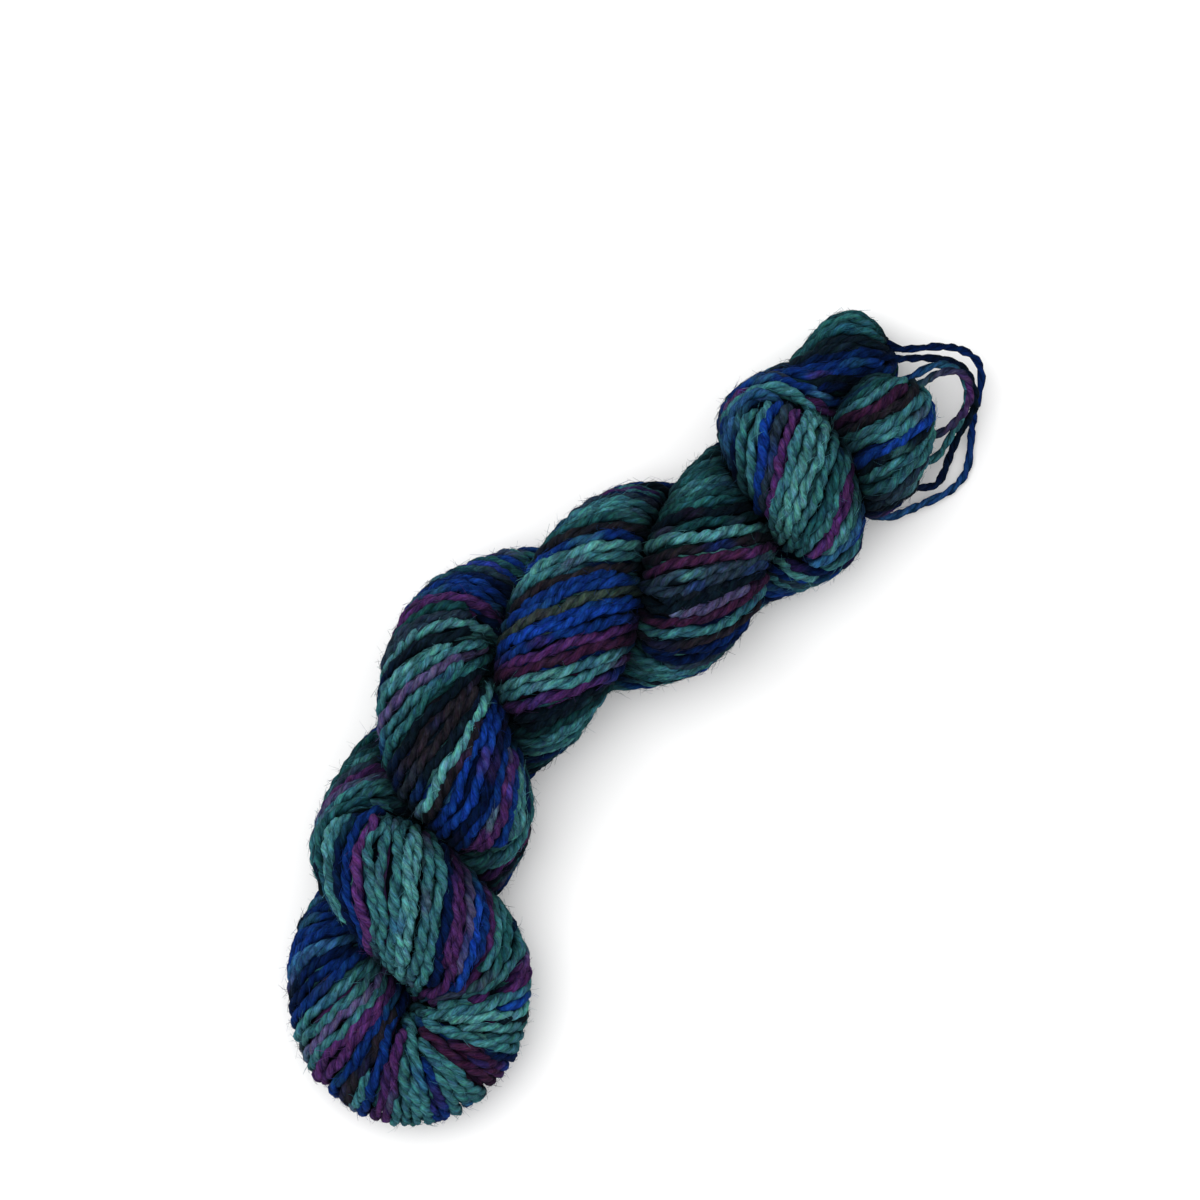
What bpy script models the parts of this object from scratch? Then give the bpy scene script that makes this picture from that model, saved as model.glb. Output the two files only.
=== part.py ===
"""A twisted hank of thick wool yarn, lying on a flat surface.

The wound skein is twisted on itself and folded in half. Its two halves, the plies, then wind round each
other: two full turns or so of a left-hand rope. At one end the skein bends back in a tight, fat fold. At the
other its two ends are tucked together, and a few strands stand away from them as loose loops.

Sizes in the tables are in millimetres. X runs along the hank from the fold to the tucked ends, and Z is up.
The origin is on the surface, under the middle of the hank's box.
"""

from collections import namedtuple

import bmesh
import bpy
import numpy as np

MM = 0.001

LOOSE_STRAND = 2.1  # thickness of a loose loop, drawn thinner than the wound yarn

# A ply's half sizes where it runs over or under the rope, and where it runs along the rope's side.
OVER_WIDTH = 16.0
OVER_HEIGHT = 12.0
BESIDE_WIDTH = 12.0
BESIDE_HEIGHT = 15.0

END_REACH = 8.0  # length over which a tucked end rounds off
SECTION_STEP = 3.5  # between the sections of the sweep
SECTION_SIDES = 24
GROOVE_ANGLE = 0.7  # radians: a steeper fold in the surface is shaded as a sharp groove
BOUNDARY = 20.0  # how far the ground block reaches past the hank

# The rope of two plies, a row for each quarter turn: the place and height of its axis, how far each ply's
# middle stands from it to the side and upwards, how far the plies slip along it, and their thickness.
Quarter = namedtuple("Quarter", "x y z swing lift slip girth")
ROPE = (
    Quarter(-67.0, 18.5, 21.0, 14.0, 10.0, 0.0, 1.00),
    Quarter(-51.5, 25.0, 21.0, 13.0, 10.5, -6.0, 1.00),
    Quarter(-33.0, 30.5, 21.0, 12.0, 10.5, 0.0, 1.02),
    Quarter(-10.5, 34.0, 21.0, 13.5, 10.5, 0.0, 1.02),
    Quarter(9.5, 26.0, 21.0, 12.0, 10.5, 0.0, 1.00),
    Quarter(27.0, 17.0, 21.0, 12.5, 10.5, 0.0, 1.00),
    Quarter(40.0, 9.5, 21.0, 11.5, 10.5, 0.0, 1.02),
)

# Where a ply leaves the rope it has rows of its own: its middle and its half width and half height.
Section = namedtuple("Section", "x y z width height")
FOLD = (
    Section(-71.5, -2.0, 17.5, 15.5, 13.5),
    Section(-81.5, -11.0, 14.0, 14.5, 13.5),
    Section(-92.0, -12.0, 13.0, 14.5, 13.5),
    Section(-100.5, -7.0, 13.0, 14.5, 13.5),
    Section(-102.5, 4.0, 13.0, 14.5, 13.5),
    Section(-96.5, 13.5, 13.0, 15.0, 13.5),
    Section(-84.5, 21.0, 12.5, 14.5, 13.0),
)
# The first ply crosses over the rope once more, nearly at right angles, and turns back along its far side.
FIRST_END = (
    Section(50.5, -1.5, 12.5, 11.5, 12.5),
    Section(61.5, -7.5, 19.0, 11.5, 13.0),
    Section(68.5, 3.5, 30.5, 14.5, 12.0),
    Section(74.5, 17.5, 22.0, 11.5, 13.0),
    Section(87.0, 12.5, 14.0, 10.5, 13.0),
    Section(100.0, 10.0, 12.5, 11.5, 12.5),
    Section(109.5, 6.5, 13.0, 12.0, 12.0),
)
# The second ply passes under that crossing and comes up beside it, spread wide.
SECOND_END = (
    Section(58.0, 13.5, 18.5, 12.5, 13.0),
    Section(74.5, 7.0, 11.5, 12.0, 12.0),
    Section(78.5, -8.0, 18.5, 11.0, 12.5),
    Section(86.5, -7.0, 22.0, 13.0, 12.5),
    Section(95.5, -4.0, 21.0, 11.5, 12.5),
    Section(102.5, -0.5, 19.5, 9.5, 12.0),
)
# The middle of the rope, where the plies press together. It closes the narrow space between them.
HEART = (
    Section(-90.0, 1.0, 13.0, 5.0, 7.0),
    Section(-78.0, 10.0, 16.0, 6.0, 8.0),
    Section(-67.0, 18.5, 21.0, 7.0, 9.0),
    Section(-51.5, 25.0, 21.0, 7.0, 9.0),
    Section(-33.0, 30.5, 21.0, 7.0, 9.0),
    Section(-10.5, 34.0, 21.0, 7.0, 9.0),
    Section(9.5, 26.0, 21.0, 7.0, 9.0),
    Section(27.0, 17.0, 21.0, 7.0, 9.0),
    Section(40.0, 9.5, 21.0, 7.0, 9.0),
    Section(56.0, 6.0, 21.0, 7.0, 9.0),
    Section(74.0, 6.0, 20.0, 7.0, 9.0),
    Section(92.0, 2.0, 18.0, 7.0, 9.0),
)

# Routes of the loose strands, from the hank's end out and back to its side.
LOOSE_LOOPS = {
    "loop_outer": (
        (108.8, 2.9, 15.3), (112.5, -1.5, 15.0), (116.0, -5.5, 13.0), (118.3, -10.5, 10.5),
        (118.0, -15.0, 8.0), (114.5, -18.3, 6.0), (110.0, -20.2, 4.5), (105.8, -22.5, 3.0),
        (101.0, -25.6, 2.0), (95.8, -28.2, 1.8), (90.5, -28.2, 2.0), (84.6, -25.5, 3.5),
        (79.6, -22.6, 5.5), (75.5, -20.0, 7.5), (73.4, -16.7, 9.6),
    ),
    "loop_middle": (
        (106.0, 2.4, 20.3), (109.5, -2.0, 20.7), (113.0, -7.0, 19.0), (114.5, -12.0, 16.0),
        (112.5, -17.0, 12.5), (108.9, -20.3, 9.5), (104.0, -21.0, 7.0), (98.4, -22.1, 5.5),
        (94.0, -23.4, 5.0), (90.0, -24.4, 5.5), (87.0, -23.2, 7.5), (84.2, -19.1, 11.5),
    ),
    "loop_inner": (
        (105.0, -3.6, 24.4), (109.5, -5.5, 25.0), (112.5, -9.5, 23.0), (112.0, -14.5, 19.0),
        (108.2, -18.0, 15.5), (103.5, -19.4, 13.0), (98.5, -20.0, 11.0), (94.0, -20.2, 10.0),
        (89.2, -17.4, 12.2),
    ),
    "loop_short": (
        (105.1, -6.4, 27.8), (109.0, -8.0, 29.8), (112.2, -11.5, 29.3), (111.5, -15.5, 26.3),
        (107.5, -18.3, 23.5), (102.5, -18.3, 21.5), (98.7, -17.3, 20.8),
    ),
}


def clear_scene():
    for thing in list(bpy.data.objects):
        bpy.data.objects.remove(thing, do_unlink=True)


def collection(name):
    group = bpy.data.collections.new(name)
    bpy.context.scene.collection.children.link(group)
    return group


def wool(name, colour):
    material = bpy.data.materials.new(name)
    material.use_nodes = True
    shader = material.node_tree.nodes["Principled BSDF"]
    shader.inputs["Base Color"].default_value = (*colour, 1.0)
    shader.inputs["Roughness"].default_value = 0.9
    shader.inputs["Metallic"].default_value = 0.0
    return material


def spline(rows, places):
    """Rows at fractional places along a table, on a smooth curve through all of its rows."""
    rows = np.asarray(rows, float)
    last = len(rows) - 1
    places = np.clip(places, 0, last)
    start = np.minimum(places.astype(int), last - 1)
    t = (places - start)[:, None]
    here, after = rows[start], rows[start + 1]
    before = np.where((start > 0)[:, None], rows[np.maximum(start - 1, 0)], 2 * here - after)
    beyond = np.where((start < last - 1)[:, None], rows[np.minimum(start + 2, last)], 2 * after - here)
    straight = (after - before) * t
    bend = (2 * before - 5 * here + 4 * after - beyond) * t**2
    twist = (3 * here - before - 3 * after + beyond) * t**3
    return 0.5 * (2 * here + straight + bend + twist)


def rope_ply(start_angle):
    """The sections of one ply along the rope, two for each quarter turn. Its angle is 0 at the rope's left
    side, seen from the fold, and 90 degrees on top."""
    count = 2 * (len(ROPE) - 1) + 1
    places = np.linspace(0, len(ROPE) - 1, count)
    x, y, z, swing, lift, slip, girth = spline(ROPE, places).T
    ahead = spline(ROPE, places + 0.1)[:, :2] - spline(ROPE, places - 0.1)[:, :2]
    ahead /= np.linalg.norm(ahead, axis=1)[:, None]
    left = np.stack([-ahead[:, 1], ahead[:, 0]], axis=1)
    angle = np.radians(start_angle - 90.0 * places)
    sideways, upwards = np.cos(angle), np.sin(angle)
    middle = np.stack([x, y], axis=1)
    middle += left * (swing * sideways)[:, None] + ahead * (slip * sideways)[:, None]
    width = girth * (BESIDE_WIDTH * sideways**2 + OVER_WIDTH * upwards**2)
    height = girth * (BESIDE_HEIGHT * sideways**2 + OVER_HEIGHT * upwards**2)
    return np.column_stack([middle, z + lift * upwards, width, height])


def skein_rows():
    """The whole skein in one run: from the first ply's tucked end to the fold, and back along the second."""
    first = np.concatenate([rope_ply(90.0), FIRST_END])
    second = np.concatenate([rope_ply(270.0), SECOND_END])
    return np.concatenate([first[::-1], FOLD, second])


def evenly(rows, step):
    """The rows resampled at equal steps along their middle line, and each one's distance along it."""
    fine = spline(rows, np.linspace(0, len(rows) - 1, 30 * len(rows)))
    lengths = np.linalg.norm(np.diff(fine[:, :3], axis=0), axis=1)
    travelled = np.concatenate([[0.0], np.cumsum(lengths)])
    along = np.linspace(0, travelled[-1], int(travelled[-1] / step) + 1)
    even = np.stack([np.interp(along, travelled, column) for column in fine.T], axis=1)
    return even, along


def rounded_ends(along):
    """A factor that is 1 along the skein and shrinks to a small cap at its two ends, as a quarter circle."""
    from_end = np.minimum(along, along[-1] - along)
    rest = 1.0 - np.clip(from_end / END_REACH, 0.0, 1.0)
    return np.sqrt(np.clip(1.0 - rest**2, 0.02, 1.0))


def rings_along(rows):
    """One ring of points for each even step along a table of sections, across its run."""
    rows, along = evenly(rows, SECTION_STEP)
    middle = rows[:, :3]
    size = rows[:, 3:5] * rounded_ends(along)[:, None]
    run = np.gradient(middle, axis=0)
    run /= np.linalg.norm(run, axis=1)[:, None]
    wide = np.cross(run, (0.0, 0.0, 1.0))
    wide /= np.linalg.norm(wide, axis=1)[:, None]
    high = np.cross(wide, run)
    turn = np.linspace(0, 2 * np.pi, SECTION_SIDES, endpoint=False)
    across = np.cos(turn)[None, :, None] * (wide * size[:, :1])[:, None, :]
    upright = np.sin(turn)[None, :, None] * (high * size[:, 1:])[:, None, :]
    return middle[:, None, :] + across + upright


def loft(shape, rings):
    """Adds a closed body through rings of equal counts of points."""
    rows = [[shape.verts.new(point * MM) for point in ring] for ring in rings]
    for lower, upper in zip(rows, rows[1:]):
        for i in range(len(lower)):
            shape.faces.new((lower[i - 1], lower[i], upper[i], upper[i - 1]))
    shape.faces.new(rows[0])
    shape.faces.new(rows[-1])


def ground_block(rings, group):
    """A block under the surface, which takes off what the hank's weight presses flat."""
    low = rings.min(axis=(0, 1)) - BOUNDARY
    high = rings.max(axis=(0, 1)) + BOUNDARY
    high[2] = 0.0
    shape = bmesh.new()
    bmesh.ops.create_cube(shape, size=1.0)
    bmesh.ops.scale(shape, vec=(high - low) * MM, verts=shape.verts)
    bmesh.ops.translate(shape, vec=(high + low) / 2 * MM, verts=shape.verts)
    mesh = bpy.data.meshes.new("ground_block")
    shape.to_mesh(mesh)
    shape.free()
    block = bpy.data.objects.new("ground_block", mesh)
    block.hide_render = True
    block.display_type = "WIRE"
    group.objects.link(block)
    return block


def outer_skin(mesh):
    """The mesh with its largest surface only. On the inner side of a tight bend neighbouring sections cross,
    which leaves tiny closed pockets under the skin."""
    shape = bmesh.new()
    shape.from_mesh(mesh)
    unseen = set(shape.faces)
    surfaces = []
    while unseen:
        surface = set()
        reached = {unseen.pop()}
        while reached:
            face = reached.pop()
            surface.add(face)
            joined = [edge for edge in face.edges if len(edge.link_faces) == 2]
            touching = {other for edge in joined for other in edge.link_faces}
            reached |= touching & unseen
            unseen -= touching
        surfaces.append(surface)
    surfaces.sort(key=len)
    pockets = [face for surface in surfaces[:-1] for face in surface]
    bmesh.ops.delete(shape, geom=pockets, context="FACES")
    shape.to_mesh(mesh)
    shape.free()
    return mesh


def make_hank(group, cutters):
    shape = bmesh.new()
    rings = rings_along(skein_rows())
    loft(shape, rings)
    loft(shape, rings_along(HEART))
    bmesh.ops.recalc_face_normals(shape, faces=shape.faces)
    mesh = bpy.data.meshes.new("hank")
    shape.to_mesh(mesh)
    shape.free()
    hank = bpy.data.objects.new("hank", mesh)
    group.objects.link(hank)
    rest = hank.modifiers.new("resting face", "BOOLEAN")
    rest.operation = "DIFFERENCE"
    rest.solver = "EXACT"
    rest.use_self = True
    rest.object = ground_block(rings, cutters)
    bpy.context.view_layer.update()
    graph = bpy.context.evaluated_depsgraph_get()
    hank.data = outer_skin(bpy.data.meshes.new_from_object(hank.evaluated_get(graph)))
    hank.modifiers.clear()
    hank.data.materials.append(wool("variegated_wool", (0.06, 0.17, 0.21)))
    hank.data.shade_smooth()
    hank.data.set_sharp_from_angle(angle=GROOVE_ANGLE)
    return hank


def make_loop(name, route, group, material):
    curve = bpy.data.curves.new(name, "CURVE")
    curve.dimensions = "3D"
    curve.bevel_depth = LOOSE_STRAND / 2 * MM
    curve.bevel_resolution = 2
    curve.use_fill_caps = True
    strand = curve.splines.new("POLY")
    strand.points.add(len(route) - 1)
    for point, place in zip(strand.points, route):
        point.co = (*(MM * value for value in place), 1.0)
    curve.materials.append(material)
    loop = bpy.data.objects.new(name, curve)
    group.objects.link(loop)
    return loop


def centre_on_origin(things, cutters):
    """Moves everything so that the whole object's box is centred over the origin."""
    bpy.context.view_layer.update()
    graph = bpy.context.evaluated_depsgraph_get()
    corners = []
    for thing in things:
        mesh = thing.evaluated_get(graph).to_mesh()
        corners.extend(thing.matrix_world @ vertex.co for vertex in mesh.vertices)
    places = np.array(corners)
    middle = (places.min(axis=0) + places.max(axis=0)) / 2
    for thing in (*things, *cutters):
        thing.location.x -= middle[0]
        thing.location.y -= middle[1]


def main():
    clear_scene()
    group = collection("hank_of_yarn")
    cutters = collection("cutters")
    things = [make_hank(group, cutters)]
    strand_wool = wool("loose_wool", (0.03, 0.07, 0.16))
    for name, route in LOOSE_LOOPS.items():
        things.append(make_loop(name, route, group, strand_wool))
    centre_on_origin(things, list(cutters.objects))


main()
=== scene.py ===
"""The looks of a twisted hank of thick, space-dyed wool yarn, seen from above.

The wound form is swept here as in the part's source, and set where the frame has it. It gets its yarn:
strands that follow the skein's twist over its surface, each of two plies and with its own colours, over a
second layer of yarn that shows in the gaps, with stray fibres on them. A few strands stand away from the
tucked end as loose loops.

Sizes are in millimetres until a mesh is made, with X along the hank and Z up. Angles are in radians where no
comment says degrees.
"""

import math
from collections import namedtuple

import bpy
import numpy as np
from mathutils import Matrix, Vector


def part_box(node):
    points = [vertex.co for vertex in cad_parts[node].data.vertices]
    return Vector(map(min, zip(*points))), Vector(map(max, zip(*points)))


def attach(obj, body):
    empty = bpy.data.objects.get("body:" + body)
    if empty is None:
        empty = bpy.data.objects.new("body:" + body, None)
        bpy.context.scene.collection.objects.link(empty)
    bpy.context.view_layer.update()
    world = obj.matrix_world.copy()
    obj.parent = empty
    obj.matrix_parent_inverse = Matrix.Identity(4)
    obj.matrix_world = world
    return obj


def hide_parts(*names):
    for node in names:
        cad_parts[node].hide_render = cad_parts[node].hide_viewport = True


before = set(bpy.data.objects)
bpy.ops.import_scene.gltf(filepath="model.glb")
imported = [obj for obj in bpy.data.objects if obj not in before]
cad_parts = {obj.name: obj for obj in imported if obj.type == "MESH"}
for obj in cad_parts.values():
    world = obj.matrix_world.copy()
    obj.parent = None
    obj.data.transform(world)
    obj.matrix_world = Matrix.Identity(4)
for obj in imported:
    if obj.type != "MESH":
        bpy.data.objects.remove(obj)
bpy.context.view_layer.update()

MM = 0.001

# The wound form, as in the part's source.
OVER_WIDTH = 16.0
OVER_HEIGHT = 12.0
BESIDE_WIDTH = 12.0
BESIDE_HEIGHT = 15.0
END_REACH = 8.0
SECTION_STEP = 3.5
SECTION_SIDES = 24

Quarter = namedtuple("Quarter", "x y z swing lift slip girth")
ROPE = (
    Quarter(-67.0, 18.5, 21.0, 14.0, 10.0, 0.0, 1.00),
    Quarter(-51.5, 25.0, 21.0, 13.0, 10.5, -6.0, 1.00),
    Quarter(-33.0, 30.5, 21.0, 12.0, 10.5, 0.0, 1.02),
    Quarter(-10.5, 34.0, 21.0, 13.5, 10.5, 0.0, 1.02),
    Quarter(9.5, 26.0, 21.0, 12.0, 10.5, 0.0, 1.00),
    Quarter(27.0, 17.0, 21.0, 12.5, 10.5, 0.0, 1.00),
    Quarter(40.0, 9.5, 21.0, 11.5, 10.5, 0.0, 1.02),
)
Section = namedtuple("Section", "x y z width height")
FOLD = (
    Section(-71.5, -2.0, 17.5, 15.5, 13.5),
    Section(-81.5, -11.0, 14.0, 14.5, 13.5),
    Section(-92.0, -12.0, 13.0, 14.5, 13.5),
    Section(-100.5, -7.0, 13.0, 14.5, 13.5),
    Section(-102.5, 4.0, 13.0, 14.5, 13.5),
    Section(-96.5, 13.5, 13.0, 15.0, 13.5),
    Section(-84.5, 21.0, 12.5, 14.5, 13.0),
)
FIRST_END = (
    Section(50.5, -1.5, 12.5, 11.5, 12.5),
    Section(61.5, -7.5, 19.0, 11.5, 13.0),
    Section(68.5, 3.5, 30.5, 14.5, 12.0),
    Section(74.5, 17.5, 22.0, 11.5, 13.0),
    Section(87.0, 12.5, 14.0, 10.5, 13.0),
    Section(100.0, 10.0, 12.5, 11.5, 12.5),
    Section(109.5, 6.5, 13.0, 12.0, 12.0),
)
SECOND_END = (
    Section(58.0, 13.5, 18.5, 12.5, 13.0),
    Section(74.5, 7.0, 11.5, 12.0, 12.0),
    Section(78.5, -8.0, 18.5, 11.0, 12.5),
    Section(86.5, -7.0, 22.0, 13.0, 12.5),
    Section(95.5, -4.0, 21.0, 11.5, 12.5),
    Section(102.5, -0.5, 19.5, 9.5, 12.0),
)
LOOSE_LOOPS = {
    "loop_outer": (
        (108.8, 2.9, 15.3), (112.5, -1.5, 15.0), (116.0, -5.5, 13.0), (118.3, -10.5, 10.5),
        (118.0, -15.0, 8.0), (114.5, -18.3, 6.0), (110.0, -20.2, 4.5), (105.8, -22.5, 3.0),
        (101.0, -25.6, 2.0), (95.8, -28.2, 1.8), (90.5, -28.2, 2.0), (84.6, -25.5, 3.5),
        (79.6, -22.6, 5.5), (75.5, -20.0, 7.5), (73.4, -16.7, 9.6),
    ),
    "loop_middle": (
        (106.0, 2.4, 20.3), (109.5, -2.0, 20.7), (113.0, -7.0, 19.0), (114.5, -12.0, 16.0),
        (112.5, -17.0, 12.5), (108.9, -20.3, 9.5), (104.0, -21.0, 7.0), (98.4, -22.1, 5.5),
        (94.0, -23.4, 5.0), (90.0, -24.4, 5.5), (87.0, -23.2, 7.5), (84.2, -19.1, 11.5),
    ),
    "loop_inner": (
        (105.0, -3.6, 24.4), (109.5, -5.5, 25.0), (112.5, -9.5, 23.0), (112.0, -14.5, 19.0),
        (108.2, -18.0, 15.5), (103.5, -19.4, 13.0), (98.5, -20.0, 11.0), (94.0, -20.2, 10.0),
        (89.2, -17.4, 12.2),
    ),
    "loop_short": (
        (105.1, -6.4, 27.8), (109.0, -8.0, 29.8), (112.2, -11.5, 29.3), (111.5, -15.5, 26.3),
        (107.5, -18.3, 23.5), (102.5, -18.3, 21.5), (98.7, -17.3, 20.8),
    ),
}
# Where each loose strand goes on inside the hank, before its route starts and after it ends.
TUCKS = {
    "loop_outer": ((108.6, 6.6, 14.2), (72.0, -12.8, 12.0)),
    "loop_middle": ((105.2, 5.8, 18.6), (84.0, -15.2, 14.5)),
    "loop_inner": ((101.5, -1.5, 22.5), (89.0, -13.6, 15.0)),
    "loop_short": ((101.5, -4.2, 25.2), (95.2, -14.6, 19.5)),
}
LOOP_COLOURS = {
    "loop_outer": ("navy", "blue", "sky"),
    "loop_middle": ("navy", "coal", "navy"),
    "loop_inner": ("blue", "teal", "teal"),
    "loop_short": ("sea", "plum", "slate"),
}

# How lines and sweeps are measured.
NEARBY = 0.1  # of a row, to each side of a place where a table's direction is taken
ROW_POINTS = 30  # a row, where a table is measured
ROUTE_POINTS = 20  # a row, where a loose strand's route is measured
FEWEST_POINTS = 4  # on a resampled line
END_FLOOR = 0.02  # the least square of the factor for the skein's rounded ends
LEAST_SIZE = 0.2  # of a section
LEAST_LAYER = 0.3  # of a section of a layer of yarn
SWEEP_STEP = 0.5  # between the sections that carry the yarn

# How the other parts of the skein are felt from a point on it.
FAR_OUT = -50.0  # depth of a point that has no other part near it
OWN_REACH = 22.0  # a part of the skein that is closer than this along it isn't another part
SLICE_STEP = 2.0  # between the slices that the other parts are cut into
SLICE_HALF = 2.5  # half a slice's thickness
DEPTH_TURN = 10.0  # degrees between the points of a ring where the depth is kept
DEPTH_STRIDE = 4  # sections between such rings
PINCHED = 0.12  # where the surface gets on by less than this share of the skein's way, it folds over itself
PINCHED_DEPTH = 9.0  # and counts as buried this deep

# How strands are traced over the surface.
STRAND = 2.8  # thickness of the wound yarn
SPACING = 2.35  # between the middles of neighbouring strands
SEED_ROOM = 0.72  # a new strand starts no closer to another one than this share of the spacing
RUN_ROOM = 0.6  # and goes on until it is this close
CLOSE = 0.86  # a strand's neighbour lies at the spacing, or else at this share of it
STEP = 1.0  # between the points of a traced strand
FEWEST_STEPS = 7  # in a strand that is kept
MOST_STEPS = 260  # to either side of a strand's start
OWN_STEPS = 8  # a strand isn't crowded by its own points within this many steps
CROWD_REACH = 34.0  # nor by points that are further than this along the skein
START_MARGIN = 1.0  # from the skein's ends to a strand's start
RUN_MARGIN = 0.8  # and to its other points
DEEPEST = 2.4  # a strand ends this far inside the other ply
START_ABOVE = 0.8  # and starts at least this much above that
PROBE = 0.6  # to each side of a place, along the skein, where the surface's size is measured
PROBE_TURN = 0.04  # and round it
LEAST_FAR = 0.15  # the least of the surface's sizes, for a step along the skein
LEAST_ROUND = 1.0  # and for a radian round it
JUST_INSIDE = 1.001  # taken off a count of rows, so that a place always has a row after it
TRY_FROM, TRY_EVERY = 2, 3  # the points of a strand that neighbours are tried beside
TOP_STARTS = (150.0, 60.0, 250.0, 320.0, 440.0, 540.0, 610.0, 15.0, 200.0, 380.0, 490.0)
BOTTOM_STARTS = np.arange(15.0, 620.0, 30.0)

# The strands' lean against the run of the skein, in degrees, a row for each place where the lean changes.
Lean = namedtuple("Lean", "along angle")
LEANS = (
    Lean(0.0, 35.0),
    Lean(30.0, 46.0),
    Lean(60.0, 48.0),
    Lean(150.0, 52.0),
    Lean(250.0, 48.0),
    Lean(275.0, 48.0),
    Lean(290.0, 66.0),
    Lean(305.0, 82.0),
    Lean(320.0, 87.0),
    Lean(332.0, 76.0),
    Lean(342.0, 56.0),
    Lean(356.0, 42.0),
    Lean(380.0, 50.0),
    Lean(440.0, 54.0),
    Lean(550.0, 58.0),
    Lean(600.0, 50.0),
    Lean(629.0, 42.0),
)
LEAN_SWING = 9.0  # degrees that the lean is less on the right side of a ply, and more on its left

# The second layer, below the first, painted darker as shade.
UNDER_LAYER = 2.0  # how far down it lies
UNDER_SPACING = 2.7
UNDER_STEP = 1.6  # between the rings of a strand
UNDER_RADIUS = 1.5
UNDER_SIDES = 5
# painted shade: what is left of the second layer's colours, as it lies under the first
UNDER_SHADE = 0.6

# The inside: a dark tube that stands in for the shade deep in the skein.
CORE_INSET = 4.2
CORE_SIDES = 12
CORE_STRIDE = 4  # sections between its rings
CORE_FLOOR = 0.3  # how far it stays above the floor
# what is left of its coal colour, as painted shade
CORE_SHADE = 0.6

# How a strand lies on its traced line. Pairs are the least and the most of a random factor.
FINE_STEP = 1.0  # between the rings of a yarn ply
WAVER = 0.45  # how far a strand strays to its sides, and half as much up and down
WAVES = (13.0, 21.0, 37.0)  # lengths of the waves that a strand's wavering is made of
WAVE_STRETCH = (0.85, 1.2)
WAVE_SUM = 1.7  # what the waves together come to, for a size of 1
ANY_PHASE = 6.3  # about a full turn
LIFT = 0.25  # how far whole strands lie higher or lower than their neighbours
DIVE = 4.5  # length over which a strand's end sinks
DIVE_DEPTH = 3.4
TIP_TAPER = 0.45  # how much thinner a strand is where its end sinks in
TIP_SHADE = 0.8  # and how much darker
TIP_RADIUS = 0.3
STRAND_SIZE = (0.92, 1.06)
SIZE_WAVE = 0.07

# The yarn's own two plies.
YARN_SIDES = 8
PLY_PITCH = 9.4  # length of one full turn
PITCH_SPREAD = (0.93, 1.08)
TWIST_WAVE = 0.5  # how far the twist wavers
PLY_RADIUS = 0.97
PLY_OFFSET = 0.52  # from the yarn's middle to a ply's
SWELLS = ((0.07, 1.7), (0.05, 0.71))  # size and pace of a ply's swelling along its length
ROUGH = 0.08  # unevenness of a ply's surface
ROUGH_SEED = 3
YARN_SEED = 11
WOOL_LENGTH = 400.0  # of the wool that each ply's texture starts somewhere in

# Stray fibres. Pairs are the least and the most.
FIBRE_SEED = 21
FIBRE_RINGS = 4
FIBRE_SIDES = 3
FIBRE_MARGIN = 5  # points at a strand's ends that bear no stray fibres
FIBRE_ROOM = 4  # points between them that a strand with fibres has at least
FIBRE_SPIN = 1.25  # radians to each side of a strand's top that fibres grow from
FIBRE_ASIDE = 0.8
FIBRE_DROOP = 0.8
FIBRE_TAPER = 0.5
FIBRE_FLOOR = 0.1  # how far fibres stay above the floor
FIBRE_PALE = 0.004  # how much paler a fibre is than its strand
Fibres = namedtuple("Fibres", "count root ahead rise length curl radius tone")
FIBRES = {
    "yarn_fuzz": Fibres(7000, 1.25, (0.0, 1.0), (0.2, 0.9), (1.0, 2.8), 0.8, 0.03, (1.2, 1.6)),
    "yarn_fibres": Fibres(8000, 1.36, (0.8, 1.0), (-0.05, 0.25), (1.8, 4.0), 0.25, 0.06, (0.6, 2.0)),
}

# The loose loops.
LOOP_THICKNESS = 0.7  # as a share of the wound yarn's
LOOP_SEED = 5
SOME_WAY = (0.3, 0.5, 1.0)  # a direction that no loose strand starts along

COLOURS = {
    "teal": (0.030, 0.119, 0.137),
    "aqua": (0.052, 0.176, 0.186),
    "sea": (0.012, 0.063, 0.070),
    "green": (0.005, 0.030, 0.033),
    "blue": (0.003, 0.019, 0.110),
    "royal": (0.004, 0.028, 0.185),
    "sky": (0.020, 0.078, 0.180),
    "navy": (0.001, 0.0055, 0.033),
    "plum": (0.052, 0.016, 0.080),
    "lilac": (0.056, 0.048, 0.110),
    "wine": (0.030, 0.008, 0.028),
    "slate": (0.015, 0.028, 0.045),
    "coal": (0.0024, 0.006, 0.0105),
    "bark": (0.011, 0.0085, 0.0115),
    "olive": (0.026, 0.042, 0.034),
}
# What the other colour of a strand is picked from.
PALETTE = ("teal teal teal sea sea aqua blue blue royal navy navy plum plum coal coal coal bark slate wine "
           "green").split()
DYE_BORDER = (1.0, 2.6)  # radians from the top of a ply to where a strand turns to its other colour
DYE_EDGE = 9.0  # how sharply it turns
DRIFT = 0.5  # how far the other colour wavers into the first
DRIFT_FROM = 0.2
DRIFT_MOST = 0.45
STRAND_TONE = (0.82, 1.18)
PLY_TONE = (0.93, 1.07)

# How colours are shaded where little light comes in.
SHADED = -7.0  # the depth in another part of the skein, here outside it, where the wool starts to darken
VALLEY_SHADE = 0.1  # what is left of a colour at the bottom of a valley
VALLEY_CURVE = 1.2
GROOVE_SHADE = 0.6  # how much darker the wool is in the grooves between a strand's plies
GROOVE_FROM, GROOVE_OVER = 0.75, 1.3  # the groove's edge, by the cosine from a ply's outer side
SIDE_SHADE = 0.72  # how much darker it is on a strand's sides, where the next strand lies
SIDE_FROM, SIDE_OVER = 0.35, 1.5  # the side's edge, by the height over the strand's middle
SHADE_HUE = (1.2, 0.95, 0.85)  # powers of a shade for red, green and blue: shaded wool is deeper in hue

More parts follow.
